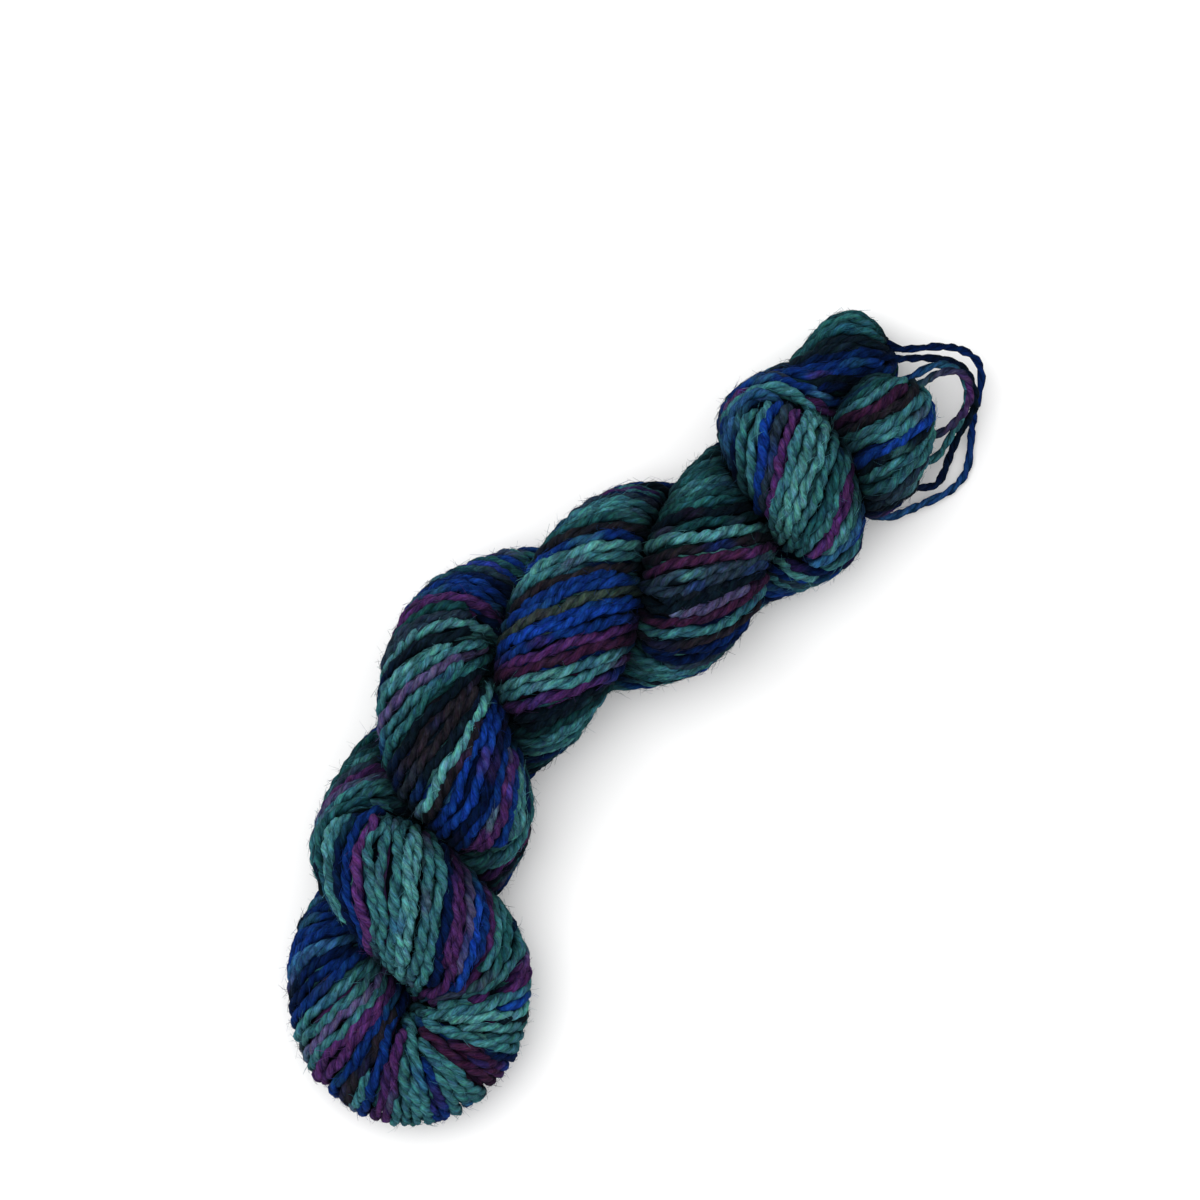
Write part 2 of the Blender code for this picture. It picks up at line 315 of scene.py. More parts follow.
# Stripes along the skein: the colours of the strands that cross the top of a ply from start to end, in order.
SAME_STRIPE = 1.2  # strands that cross this close together are one stripe
AT_TOP = 0.05  # radians from the top that count as on it
TOP_STEPS = 60  # that a strand is followed on, at most, to where it would cross the top
FAR_BEFORE = -100.0  # a place before the skein's start
Stripes = namedtuple("Stripes", "start end words")
STRIPES = (
    Stripes(0, 33, "sea coal coal navy blue blue coal green navy blue slate plum plum"),
    Stripes(33, 79, "teal blue sky navy teal teal royal slate plum teal aqua teal sea teal plum plum aqua "
                    "teal sky blue blue teal"),
    Stripes(79, 116, "navy navy aqua slate blue slate blue teal blue blue blue coal plum coal teal teal "
                    "navy"),
    Stripes(116, 201, "navy navy navy navy slate teal teal teal sea bark blue aqua teal teal bark blue blue "
                    "olive royal royal blue plum wine aqua teal plum coal coal green teal teal sea teal "
                    "aqua aqua navy blue"),
    Stripes(201, 266, "green green blue coal coal green plum green slate plum lilac teal teal teal teal "
                    "coal coal sea aqua teal navy blue plum teal teal aqua teal"),
    Stripes(266, 306, "teal navy plum plum lilac royal blue plum teal sea sea teal teal plum plum royal "
                    "coal aqua teal"),
    Stripes(306, 368, "navy wine wine wine teal teal teal blue teal teal teal plum plum blue blue teal bark "
                    "bark blue plum plum teal lilac teal teal coal blue navy navy sky blue"),
    Stripes(368, 406, "blue blue sky blue plum sea sea coal plum plum teal aqua teal teal sea"),
    Stripes(406, 482, "navy navy aqua aqua blue plum blue navy royal royal bark aqua coal bark bark coal "
                    "sea teal lilac teal aqua coal aqua slate navy green plum plum plum blue blue blue "
                    "navy navy slate sea"),
    Stripes(482, 512, "sea sea sea green navy sea coal sea teal"),
    Stripes(512, 566, "blue teal teal slate navy navy bark teal wine lilac coal slate wine bark aqua green "
                    "coal sea sea teal teal teal sea green sea"),
    Stripes(566, 602, "sea teal green green teal sea navy blue sky sky teal teal slate sky navy coal"),
    Stripes(602, 629, "slate slate teal teal coal royal teal teal bark wine teal sea teal"),
)
LOBES = (0.0, 100.0, 205.0, 300.0, 385.0, 500.0, 640.0)  # where the yarn's pieces meet

# The wool's texture.
WOOL = {
    "Roughness": 0.85,
    "Sheen Weight": 0.012,
    "Sheen Tint": (0.35, 0.7, 0.9, 1.0),
    "Sheen Roughness": 0.45,
    "Specular IOR Level": 0.02,
}
Noise = namedtuple("Noise", "scale detail roughness low high")
STREAKS = Noise(1.3, 4.0, 0.6, 0.35, 1.65)
BLOTCHES = Noise(0.3, 4.0, 0.68, 0.5, 1.5)
HEATHER = Noise(0.75, 5.0, 0.7, 0.68, 1.32)
NOISE_RANGE = (0.3, 0.7)  # that is spread from a noise's low to its high
STRETCH = (0.5, 1.5, 1.5)  # along and across a ply
FLECKS = (0.0002, 0.0009, 0.0018)  # undyed blue-green that every colour has in it
BUMP_STRENGTH = 0.9
BUMP_DEPTH = 0.0006  # in metres

# The camera looks straight down, turned as the hank lies in the picture. From here on, sizes are in metres.
CAMERA_TARGET = (0.0161, 0.0086, 0.020)
CAMERA_DISTANCE = 1.5
CAMERA_LENS = 187.5
CAMERA_SENSOR = 36.0
CAMERA_TURN = -52.9  # degrees

Light = namedtuple("Light", "name place size power")
LIGHTS = (
    Light("key", (-0.15, 0.6, 1.5), 1.6, 22.0),
    Light("fill", (0.4, -0.3, 1.5), 1.6, 7.0),
)
LIGHT_TARGET = (0.0, 0.0, 0.0)
WORLD_COLOUR = (1.0, 1.0, 1.0, 1.0)
WORLD_STRENGTH = 0.62
FLOOR_HALF = 3.0
FLOOR_DROP = 0.0002  # how far the floor lies below the hank
FLOOR = {"Base Color": (0.9, 0.9, 0.9, 1.0), "Roughness": 0.9, "Specular IOR Level": 0.1}

Yarn = namedtuple("Yarn", "points outward colours thickness")


def spline(rows, places):
    """Rows at fractional places along a table, on a smooth curve through all of its rows."""
    rows = np.asarray(rows, float)
    last = len(rows) - 1
    places = np.clip(places, 0, last)
    start = np.minimum(places.astype(int), last - 1)
    t = (places - start)[:, None]
    here, after = rows[start], rows[start + 1]
    before = np.where((start > 0)[:, None], rows[np.maximum(start - 1, 0)], 2 * here - after)
    beyond = np.where((start < last - 1)[:, None], rows[np.minimum(start + 2, last)], 2 * after - here)
    straight = (after - before) * t
    bend = (2 * before - 5 * here + 4 * after - beyond) * t**2
    twist = (3 * here - before - 3 * after + beyond) * t**3
    return 0.5 * (2 * here + straight + bend + twist)


def rope_ply(start_angle):
    """The sections of one ply along the rope, two for each quarter turn."""
    count = 2 * (len(ROPE) - 1) + 1
    places = np.linspace(0, len(ROPE) - 1, count)
    x, y, z, swing, lift, slip, girth = spline(ROPE, places).T
    ahead = spline(ROPE, places + NEARBY)[:, :2] - spline(ROPE, places - NEARBY)[:, :2]
    ahead /= np.linalg.norm(ahead, axis=1)[:, None]
    left = np.stack([-ahead[:, 1], ahead[:, 0]], axis=1)
    angle = np.radians(start_angle - 90.0 * places)
    sideways, upwards = np.cos(angle), np.sin(angle)
    middle = np.stack([x, y], axis=1)
    middle += left * (swing * sideways)[:, None] + ahead * (slip * sideways)[:, None]
    width = girth * (BESIDE_WIDTH * sideways**2 + OVER_WIDTH * upwards**2)
    height = girth * (BESIDE_HEIGHT * sideways**2 + OVER_HEIGHT * upwards**2)
    return np.column_stack([middle, z + lift * upwards, width, height])


def skein_rows():
    """The whole skein in one run: from the first ply's tucked end to the fold, and back along the second."""
    first = np.concatenate([rope_ply(90.0), FIRST_END])
    second = np.concatenate([rope_ply(270.0), SECOND_END])
    return np.concatenate([first[::-1], FOLD, second])


def evenly(rows, step):
    """The rows resampled at equal steps along their middle line, and each one's distance along it."""
    fine = spline(rows, np.linspace(0, len(rows) - 1, ROW_POINTS * len(rows)))
    lengths = np.linalg.norm(np.diff(fine[:, :3], axis=0), axis=1)
    travelled = np.concatenate([[0.0], np.cumsum(lengths)])
    along = np.linspace(0, travelled[-1], int(travelled[-1] / step) + 1)
    even = np.stack([np.interp(along, travelled, column) for column in fine.T], axis=1)
    return even, along


def rounded_ends(along):
    """A factor that is 1 along the skein and shrinks to a small cap at its two ends, as a quarter circle."""
    from_end = np.minimum(along, along[-1] - along)
    rest = 1.0 - np.clip(from_end / END_REACH, 0.0, 1.0)
    return np.sqrt(np.clip(1.0 - rest**2, END_FLOOR, 1.0))


class Sweep:
    """A run of sections with its directions: along it, across it to the right, and up."""

    def __init__(self, rows, step):
        rows, self.along = evenly(rows, step)
        self.step = self.along[1]
        self.middle = rows[:, :3]
        self.size = rows[:, 3:5] * rounded_ends(self.along)[:, None]
        run = np.gradient(self.middle, axis=0)
        self.run = run / np.linalg.norm(run, axis=1)[:, None]
        wide = np.cross(self.run, (0.0, 0.0, 1.0))
        self.wide = wide / np.linalg.norm(wide, axis=1)[:, None]
        self.high = np.cross(self.wide, self.run)

    def ring_points(self, angles, inset=0.0):
        """A ring of points for each section, at the angles in radians from its right side."""
        size = np.maximum(self.size - inset, LEAST_SIZE)
        across = np.cos(angles)[None, :, None] * (self.wide * size[:, :1])[:, None, :]
        upright = np.sin(angles)[None, :, None] * (self.high * size[:, 1:])[:, None, :]
        return self.middle[:, None, :] + across + upright


def buried_depth(sweep, points, own):
    """How far each point lies inside another part of the skein, in mm. own is each point's place along it."""
    depth = np.full(len(points), FAR_OUT)
    stride = max(1, round(SLICE_STEP / sweep.step))
    for i in range(0, len(sweep.along), stride):
        offset = points - sweep.middle[i]
        ahead = offset @ sweep.run[i]
        near = (np.abs(ahead) < SLICE_HALF) & (np.abs(own - sweep.along[i]) > OWN_REACH)
        if not near.any():
            continue
        half_width, half_height = sweep.size[i]
        sideways = offset[near] @ sweep.wide[i] / half_width
        upwards = offset[near] @ sweep.high[i] / half_height
        inside = (1.0 - np.hypot(sideways, upwards)) * min(half_width, half_height)
        depth[near] = np.maximum(depth[near], inside)
    return depth


class Surface:
    """One layer of yarn over the skein: where a strand's middle may lie, by its place along the skein and its
    angle round it."""

    def __init__(self, sweep, inset):
        self.sweep = sweep
        self.length = sweep.along[-1]
        size = np.maximum(sweep.size - inset, LEAST_LAYER)
        self.rows = np.column_stack([sweep.middle, sweep.wide, sweep.high, size]).tolist()
        self.depth_step = sweep.step * DEPTH_STRIDE
        angles = np.radians(np.arange(0, 361, DEPTH_TURN))
        rings = sweep.ring_points(angles, inset)[::DEPTH_STRIDE]
        own = np.repeat(sweep.along[::DEPTH_STRIDE], len(angles))
        depth = buried_depth(sweep, rings.reshape(-1, 3), own).reshape(rings.shape[:2])
        spread = np.gradient(rings, self.depth_step, axis=0)
        stretch = np.einsum("ijk,ik->ij", spread, sweep.run[::DEPTH_STRIDE])
        self.depth = np.where(stretch < PINCHED, PINCHED_DEPTH, depth).tolist()

    def row(self, along):
        """The middle, the directions and the size of the section at a place along the skein."""
        place = min(max(along / self.sweep.step, 0.0), len(self.rows) - JUST_INSIDE)
        i = int(place)
        t = place - i
        return [a + (b - a) * t for a, b in zip(self.rows[i], self.rows[i + 1])]

    def at(self, along, angle):
        """The point of the surface at a place."""
        mx, my, mz, wx, wy, wz, hx, hy, hz, width, height = self.row(along)
        c, s = width * math.cos(angle), height * math.sin(angle)
        return (mx + c * wx + s * hx, my + c * wy + s * hy, mz + c * wz + s * hz)

    def buried(self, along, angle):
        """How far the surface lies inside another part of the skein at a place, in mm."""
        turn = angle % (2 * math.pi) / math.radians(DEPTH_TURN)
        j = int(turn)
        u = turn - j
        place = min(max(along / self.depth_step, 0.0), len(self.depth) - JUST_INSIDE)
        i = int(place)
        t = place - i
        low = self.depth[i][j] + (self.depth[i][j + 1] - self.depth[i][j]) * u
        high = self.depth[i + 1][j] + (self.depth[i + 1][j + 1] - self.depth[i + 1][j]) * u
        return low + (high - low) * t

    def rates(self, along, angle):
        """Millimetres on the surface for a step along the skein and for a radian round it."""
        far = math.dist(self.at(along - PROBE, angle), self.at(along + PROBE, angle)) / (2 * PROBE)
        before, after = self.at(along, angle - PROBE_TURN), self.at(along, angle + PROBE_TURN)
        return max(far, LEAST_FAR), max(math.dist(before, after) / (2 * PROBE_TURN), LEAST_ROUND)

    def lean(self, along, angle):
        """The strands' direction at a place, in radians from the run of the skein."""
        base = float(np.interp(along, [row.along for row in LEANS], [row.angle for row in LEANS]))
        return -math.radians(base - LEAN_SWING * math.cos(angle))

    def move(self, along, angle, distance, aside=0.0):
        """The place after a move along the strands' direction and then aside, across them."""
        parts = 2 if aside == 0.0 else 1
        share = distance / parts
        for _ in range(parts):
            lean = self.lean(along, angle)
            far, around = self.rates(along, angle)
            along_step = (math.cos(lean) * share - math.sin(lean) * aside) / far
            angle_step = (math.sin(lean) * share + math.cos(lean) * aside) / around
            along, angle = along + along_step, angle + angle_step
        return along, angle


class Spread:
    """Lays strands evenly over a surface, each beside another one until no space is left."""

    def __init__(self, surface, spacing):
        self.surface = surface
        self.spacing = spacing
        self.cells = {}
        self.strands = []

    def key(self, point):
        """The cell that a point is kept in."""
        return tuple(int(value // self.spacing) for value in point)

    def crowded(self, point, along, strand, index, limit):
        """Whether another strand, or another turn of the same one, is closer to a point than the limit."""
        cx, cy, cz = self.key(point)
        limit *= limit
        for i in (cx - 1, cx, cx + 1):
            for j in (cy - 1, cy, cy + 1):
                for k in (cz - 1, cz, cz + 1):
                    for x, y, z, other_along, other, number in self.cells.get((i, j, k), ()):
                        if other == strand and abs(number - index) < OWN_STEPS:
                            continue
                        if abs(other_along - along) > CROWD_REACH:
                            continue
                        gap = (x - point[0]) ** 2 + (y - point[1]) ** 2 + (z - point[2]) ** 2
                        if gap < limit:
                            return True
        return False

    def run(self, start, way, strand):
        """The places of one strand from its start, forwards or backwards, until it is buried or crowded."""
        along, angle = start
        places = []
        index = 0
        while len(places) < MOST_STEPS:
            along, angle = self.surface.move(along, angle, way * STEP)
            index += way
            if not RUN_MARGIN < along < self.surface.length - RUN_MARGIN:
                break
            if self.surface.buried(along, angle) > DEEPEST:
                break
            point = self.surface.at(along, angle)
            if self.crowded(point, along, strand, index, RUN_ROOM * self.spacing):
                break
            places.append((along, angle, point))
            self.cells.setdefault(self.key(point), []).append((*point, along, strand, index))
        return places

    def grow(self, start):
        """Lays a strand through a place, if there is room for one."""
        along, angle = start
        if not START_MARGIN < along < self.surface.length - START_MARGIN:
            return
        if self.surface.buried(along, angle) > DEEPEST - START_ABOVE:
            return
        point = self.surface.at(along, angle)
        if self.crowded(point, along, -1, 0, SEED_ROOM * self.spacing):
            return
        strand = len(self.strands)
        mark = (*point, along, strand, 0)
        self.cells.setdefault(self.key(point), []).append(mark)
        forward = self.run(start, 1, strand)
        back = self.run(start, -1, strand)
        places = back[::-1] + [(along, angle, point)] + forward
        if len(places) < FEWEST_STEPS:
            for _, _, laid in places:
                cell = self.cells[self.key(laid)]
                cell[:] = [entry for entry in cell if entry[4] != strand]
            return
        self.strands.append(places)

    def fill(self, starts):
        """Lays strands through the starts, and then beside every strand laid."""
        for start in starts:
            self.grow(start)
        done = 0
        while done < len(self.strands):
            places = self.strands[done]
            done += 1
            for along, angle, _ in places[TRY_FROM::TRY_EVERY]:
                for side in (1.0, -1.0, CLOSE, -CLOSE):
                    self.grow(self.surface.move(along, angle, 0.0, side * self.spacing))
        return self.strands


def crest_place(surface, places):
    """Where along the skein a strand crosses, or would cross, the top of its ply."""
    top = math.pi / 2
    turns = [(angle - top + math.pi) % (2 * math.pi) - math.pi for _, angle, _ in places]
    nearest = int(np.argmin(np.abs(turns)))
    along, left = places[nearest][0], turns[nearest]
    way = 1.0 if left > 0 else -1.0
    steps = 0
    while left * way > AT_TOP and steps < TOP_STEPS and START_MARGIN < along < surface.length - START_MARGIN:
        along, angle = surface.move(along, left + top, way * STEP)
        left = angle - top
        steps += 1
    return along


def stripe_words(crests):
    """The colour word of each strand, by the order in which the strands cross the top of the ply."""
    words = ["teal"] * len(crests)
    order = np.argsort(crests)
    for stripes in STRIPES:
        mine = [i for i in order if stripes.start <= crests[i] < stripes.end]
        ranks = []
        first = FAR_BEFORE
        for i in mine:
            if crests[i] - first > SAME_STRIPE:
                first = crests[i]
                ranks.append([])
            ranks[-1].append(i)
        choice = stripes.words.split()
        for rank, group in enumerate(ranks):
            for i in group:
                words[i] = choice[rank * len(choice) // len(ranks)]
    return words


def unit(vectors):
    """Vectors of the same directions and of length 1."""
    return vectors / np.maximum(np.linalg.norm(vectors, axis=-1, keepdims=True), 1e-9)


def outward_of(surface, places):
    """The directions straight out of the surface at a strand's places."""
    result = []
    for along, angle, _ in places:
        _, _, _, wx, wy, wz, hx, hy, hz, width, height = surface.row(along)
        c, s = math.cos(angle) / width, math.sin(angle) / height
        result.append((c * wx + s * hx, c * wy + s * hy, c * wz + s * hz))
    return unit(np.array(result))


def resample(points, columns, step):
    """Points and their columns at even steps along the line through them."""
    travelled = np.concatenate([[0.0], np.cumsum(np.linalg.norm(np.diff(points, axis=0), axis=1))])
    count = max(FEWEST_POINTS, int(travelled[-1] / step) + 1)
    even = np.linspace(0.0, travelled[-1], count)
    both = np.column_stack([points, columns])
    rows = np.stack([np.interp(even, travelled, column) for column in both.T], axis=1)
    return rows[:, :3], rows[:, 3:], even


def waver(even, random, size):
    """A slow, irregular wave along a strand."""
    total = np.zeros(len(even))
    for length in WAVES:
        length *= random.uniform(*WAVE_STRETCH)
        total += np.sin(even * 2 * math.pi / length + random.uniform(0, ANY_PHASE))
    return total * size / WAVE_SUM


def lay_yarn(surface, places, word, random, step, shade_factor=1.0):
    """The course of one strand with its colours, from the places it was traced through."""
    points = np.array([point for _, _, point in places])
    outward = outward_of(surface, places)
    turns = np.array([(angle - math.pi / 2 + math.pi) % (2 * math.pi) - math.pi for _, angle, _ in places])
    tint = np.array(COLOURS[word])
    other = np.array(COLOURS[PALETTE[int(random.integers(len(PALETTE)))]])
    border = random.uniform(*DYE_BORDER)
    mix = 1.0 / (1.0 + np.exp(-(np.abs(turns) - border) * DYE_EDGE))
    drift = np.clip(waver(np.arange(len(places)) * STEP, random, DRIFT) - DRIFT_FROM, 0.0, DRIFT_MOST)
    mix = np.maximum(mix, drift)
    colours = tint * (1 - mix[:, None]) + other * mix[:, None]
    near = np.array([surface.buried(along, angle) for along, angle, _ in places])
    shade = VALLEY_SHADE + (1.0 - VALLEY_SHADE) * np.clip(near / SHADED, 0.0, 1.0) ** VALLEY_CURVE
    # Painted shade: the second layer's colours are darkened as a whole, since it lies under the first.
    colours = colours * random.uniform(*STRAND_TONE) * shade_factor * shade[:, None]
    lift = random.uniform(-LIFT, LIFT)
    points, columns, even = resample(points, np.column_stack([outward, colours]), step)
    outward, colours = unit(columns[:, :3]), columns[:, 3:]
    ahead = unit(np.gradient(points, axis=0))
    aside = np.cross(ahead, outward)
    from_end = np.minimum(even, even[-1] - even)
    sink = np.clip(1.0 - from_end / DIVE, 0.0, 1.0) ** 2
    colours = colours * (1.0 - TIP_SHADE * sink)[:, None]
    points = points + aside * waver(even, random, WAVER)[:, None]
    points = points + outward * (waver(even, random, WAVER / 2) + lift - DIVE_DEPTH * sink)[:, None]
    thickness = (1.0 + waver(even, random, SIZE_WAVE)) * random.uniform(*STRAND_SIZE)
    thickness = thickness * (1.0 - TIP_TAPER * sink)
    return Yarn(points, outward, colours, thickness)


def smooth(share):
    """0 to 1 with soft ends."""
    return share * share * (3 - 2 * share)


class Tubes:
    """Collects closed tubes into one mesh, with a colour, painted shade included, and a place in the wool for
    each point.
    """

    def __init__(self):
        self.random = np.random.default_rng(ROUGH_SEED)
        self.points = []
        self.faces = []
        self.shaded_tints = []
        self.lays = []
        self.count = 0

    def add(self, centres, radii, reference, colours, sides, start=0.0, grooves=0.0, yarn=None):
        """A tube through the centres. With a yarn it is one of its plies, and shaded for its place in it."""
        ahead = unit(np.gradient(centres, axis=0))
        out = unit(reference - ahead * np.sum(reference * ahead, axis=1)[:, None])
        side = np.cross(ahead, out)
        turns = np.arange(sides) * 2 * math.pi / sides
        spokes = np.cos(turns)[None, :, None] * out[:, None, :]
        spokes = spokes + np.sin(turns)[None, :, None] * side[:, None, :]
        rings = centres[:, None, :] + spokes * radii[:, None, None]
        if grooves > 0.0:
            rings += spokes * self.random.normal(0.0, ROUGH, rings.shape[:2])[..., None]
        rings[..., 2] = np.maximum(rings[..., 2], 0.0)
        steps = np.linalg.norm(np.diff(centres, axis=0), axis=1)
        lay = np.empty_like(rings)
        lay[..., 0] = (np.concatenate([[0.0], np.cumsum(steps)]) + start)[:, None]
        lay[..., 1] = np.cos(turns)[None, :] * radii[:, None]
        lay[..., 2] = np.sin(turns)[None, :] * radii[:, None]
        rows = len(centres)
        index = self.count + np.arange(rows * sides).reshape(rows, sides)
        after = np.roll(index, -1, axis=1)
        quads = np.stack([index[:-1], after[:-1], after[1:], index[1:]], axis=-1).reshape(-1, 4)
        self.faces.extend(quads.tolist())
        self.faces.append(index[0][::-1].tolist())
        self.faces.append(index[-1].tolist())
        self.points.append(rings.reshape(-1, 3))
        self.lays.append(lay.reshape(-1, 3))
        facing = smooth(np.clip((np.cos(turns) + GROOVE_FROM) / GROOVE_OVER, 0.0, 1.0))
        shade = np.tile(1.0 - grooves * (1.0 - facing), (rows, 1))
        if yarn is not None:
            height = np.einsum("ijk,ik->ij", rings - yarn.points[:, None, :], yarn.outward)
            upper = smooth(np.clip((height / yarn.thickness[:, None] + SIDE_FROM) / SIDE_OVER, 0.0, 1.0))
            shade *= 1.0 - SIDE_SHADE * (1.0 - upper)
        self.shaded_tints.append((colours[:, None, :] * shade[..., None] ** SHADE_HUE).reshape(-1, 3))
        self.count += rows * sides

    def add_yarn(self, yarn, random):
        """The two plies of a strand, twisted round each other."""
        ahead = unit(np.gradient(yarn.points, axis=0))
        aside = np.cross(ahead, yarn.outward)
        steps = np.linalg.norm(np.diff(yarn.points, axis=0), axis=1)
        travelled = np.concatenate([[0.0], np.cumsum(steps)])
        pitch = PLY_PITCH * random.uniform(*PITCH_SPREAD)
        turn = -2 * math.pi * travelled / pitch + random.uniform(0, 2 * math.pi)
        turn = turn + waver(travelled, random, TWIST_WAVE)
        for ply in (0.0, math.pi):
            way = np.cos(turn + ply)[:, None] * yarn.outward + np.sin(turn + ply)[:, None] * aside
            centres = yarn.points + way * (PLY_OFFSET * yarn.thickness)[:, None]
            radii = PLY_RADIUS * yarn.thickness
            for size, pace in SWELLS:
                radii = radii * (1.0 + size * np.sin(travelled * pace + random.uniform(0, ANY_PHASE)))
            radii[[0, -1]] = TIP_RADIUS
            tone = random.uniform(*PLY_TONE)
            start = random.uniform(0, WOOL_LENGTH)
            self.add(centres, radii, way, yarn.colours * tone, YARN_SIDES, start, GROOVE_SHADE, yarn)

    def build(self, name, material):
        """The mesh of all tubes, as an object of the scene."""
        points = np.concatenate(self.points) * MM
        mesh = bpy.data.meshes.new(name)
        mesh.from_pydata(points, [], self.faces)
        # each point's colour: its dye with painted shade
        tint = mesh.attributes.new("tint", "FLOAT_COLOR", "POINT")
        colours = np.column_stack([np.concatenate(self.shaded_tints), np.ones(len(points))])
        tint.data.foreach_set("color", colours.astype(np.float32).ravel())
        lay = mesh.attributes.new("lay", "FLOAT_VECTOR", "POINT")
        lay.data.foreach_set("vector", np.concatenate(self.lays).astype(np.float32).ravel())
        mesh.polygons.foreach_set("use_smooth", [True] * len(mesh.polygons))
        mesh.materials.append(material)
        mesh.update()
        thing = bpy.data.objects.new(name, mesh)
        bpy.context.scene.collection.objects.link(thing)
        return thing


def noise(nodes, kind):
    """A noise texture of one kind."""
    texture = nodes.new("ShaderNodeTexNoise")
    texture.inputs["Scale"].default_value = kind.scale
    texture.inputs["Detail"].default_value = kind.detail
    texture.inputs["Roughness"].default_value = kind.roughness
    return texture


def spread_noise(nodes, kind, hues=False):
    """A node that spreads a noise from its low to its high, each channel of its colour for hues."""
    spread = nodes.new("ShaderNodeMapRange")
    if hues:
        spread.data_type = "FLOAT_VECTOR"
    sockets = ("From Min", "From Max", "To Min", "To Max")
    for socket, value in zip(sockets, (*NOISE_RANGE, kind.low, kind.high)):
        spread.inputs[socket].default_value = (value, value, value) if hues else value
    return spread


def vector_math(nodes, operation):
    node = nodes.new("ShaderNodeVectorMath")
    node.operation = operation
    return node


def wool(name):
    """Dyed wool: the colour, with its painted shade, comes with each point, and fine streaks of fibre run
    along the yarn.
    """
    material = bpy.data.materials.new(name)
    material.use_nodes = True
    nodes, links = material.node_tree.nodes, material.node_tree.links
    shader = nodes["Principled BSDF"]
    for socket, value in WOOL.items():
        shader.inputs[socket].default_value = value
    tint = nodes.new("ShaderNodeAttribute")
    tint.attribute_name = "tint"
    lay = nodes.new("ShaderNodeAttribute")
    lay.attribute_name = "lay"
    stretch = nodes.new("ShaderNodeMapping")
    stretch.inputs["Scale"].default_value = STRETCH
    links.new(lay.outputs["Vector"], stretch.inputs["Vector"])
    # How light or dark the wool is: streaks of fibre times blotches of dye.
    fibres = noise(nodes, STREAKS)
    links.new(stretch.outputs["Vector"], fibres.inputs["Vector"])
    blotches = noise(nodes, BLOTCHES)
    links.new(lay.outputs["Vector"], blotches.inputs["Vector"])
    streak = spread_noise(nodes, STREAKS)
    links.new(fibres.outputs["Fac"], streak.inputs["Value"])
    patch = spread_noise(nodes, BLOTCHES)
    links.new(blotches.outputs["Fac"], patch.inputs["Value"])
    both = nodes.new("ShaderNodeMath")
    both.operation = "MULTIPLY"
    links.new(streak.outputs["Result"], both.inputs[0])
    links.new(patch.outputs["Result"], both.inputs[1])
    # Its hue: the dye with its painted shade and flecks, a little redder, greener or bluer from fibre to
    # fibre.
    hues = noise(nodes, HEATHER)
    links.new(stretch.outputs["Vector"], hues.inputs["Vector"])
    heather = spread_noise(nodes, HEATHER, hues=True)
    links.new(hues.outputs["Color"], heather.inputs["Vector"])
    flecks = vector_math(nodes, "ADD")
    flecks.inputs[1].default_value = FLECKS
    links.new(tint.outputs["Color"], flecks.inputs[0])
    mixed = vector_math(nodes, "MULTIPLY")
    links.new(flecks.outputs["Vector"], mixed.inputs[0])
    links.new(heather.outputs["Vector"], mixed.inputs[1])
    shade = vector_math(nodes, "SCALE")
    links.new(mixed.outputs["Vector"], shade.inputs[0])
    links.new(both.outputs["Value"], shade.inputs["Scale"])
    links.new(shade.outputs["Vector"], shader.inputs["Base Color"])
    bump = nodes.new("ShaderNodeBump")
    bump.inputs["Strength"].default_value = BUMP_STRENGTH
    bump.inputs["Distance"].default_value = BUMP_DEPTH
    links.new(fibres.outputs["Fac"], bump.inputs["Height"])
    links.new(bump.outputs["Normal"], shader.inputs["Normal"])
    return material


def make_camera():
    """The camera over the hank, as in the picture."""
    data = bpy.data.cameras.new("camera")
    data.lens = CAMERA_LENS
    data.sensor_width = CAMERA_SENSOR
    data.dof.use_dof = False
    camera = bpy.data.objects.new("camera", data)
    camera.location = Vector(CAMERA_TARGET) + Vector((0.0, 0.0, CAMERA_DISTANCE))
    camera.rotation_euler = (0.0, 0.0, math.radians(CAMERA_TURN))
    bpy.context.scene.collection.objects.link(camera)
    bpy.context.scene.camera = camera


def table_shift():
    """From the tables' own place to the frame's, as the part's source moves its solids."""
    turns = np.arange(SECTION_SIDES) * 2 * math.pi / SECTION_SIDES
    low = Sweep(skein_rows(), SECTION_STEP).ring_points(turns).reshape(-1, 3).min(axis=0)
    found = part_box("hank")[0]
    return np.array([found[0] / MM - low[0], found[1] / MM - low[1], 0.0])


def carried_outward(points):
    """Directions across a line that turn as little as they can along it."""
    ahead = unit(np.gradient(points, axis=0))
    out = np.cross(ahead[0], SOME_WAY)
    result = []
    for direction in ahead:
        out = out - direction * np.dot(out, direction)
        out = out / np.linalg.norm(out)
        result.append(out)
    return np.array(result)


def make_loops(shift, material):
    """The loose strands, as free cords."""
    random = np.random.default_rng(LOOP_SEED)
    for name, route in LOOSE_LOOPS.items():
        first_tuck, last_tuck = TUCKS[name]
        route = np.array([first_tuck, *route, last_tuck]) + shift
        fine = spline(route, np.linspace(0, len(route) - 1, ROUTE_POINTS * len(route)))
        points, _, even = resample(fine, fine, FINE_STEP)
        dyes = np.array([COLOURS[word] for word in LOOP_COLOURS[name]])
        share = even / even[-1] * (len(dyes) - 1)
        colours = np.stack([np.interp(share, range(len(dyes)), dye) for dye in dyes.T], axis=1)
        yarn = Yarn(points, carried_outward(points), colours, np.full(len(points), LOOP_THICKNESS))
        tubes = Tubes()
        tubes.add_yarn(yarn, random)
        piece = tubes.build("yarn_" + name, material)
        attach(piece, "root")
        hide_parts(name)


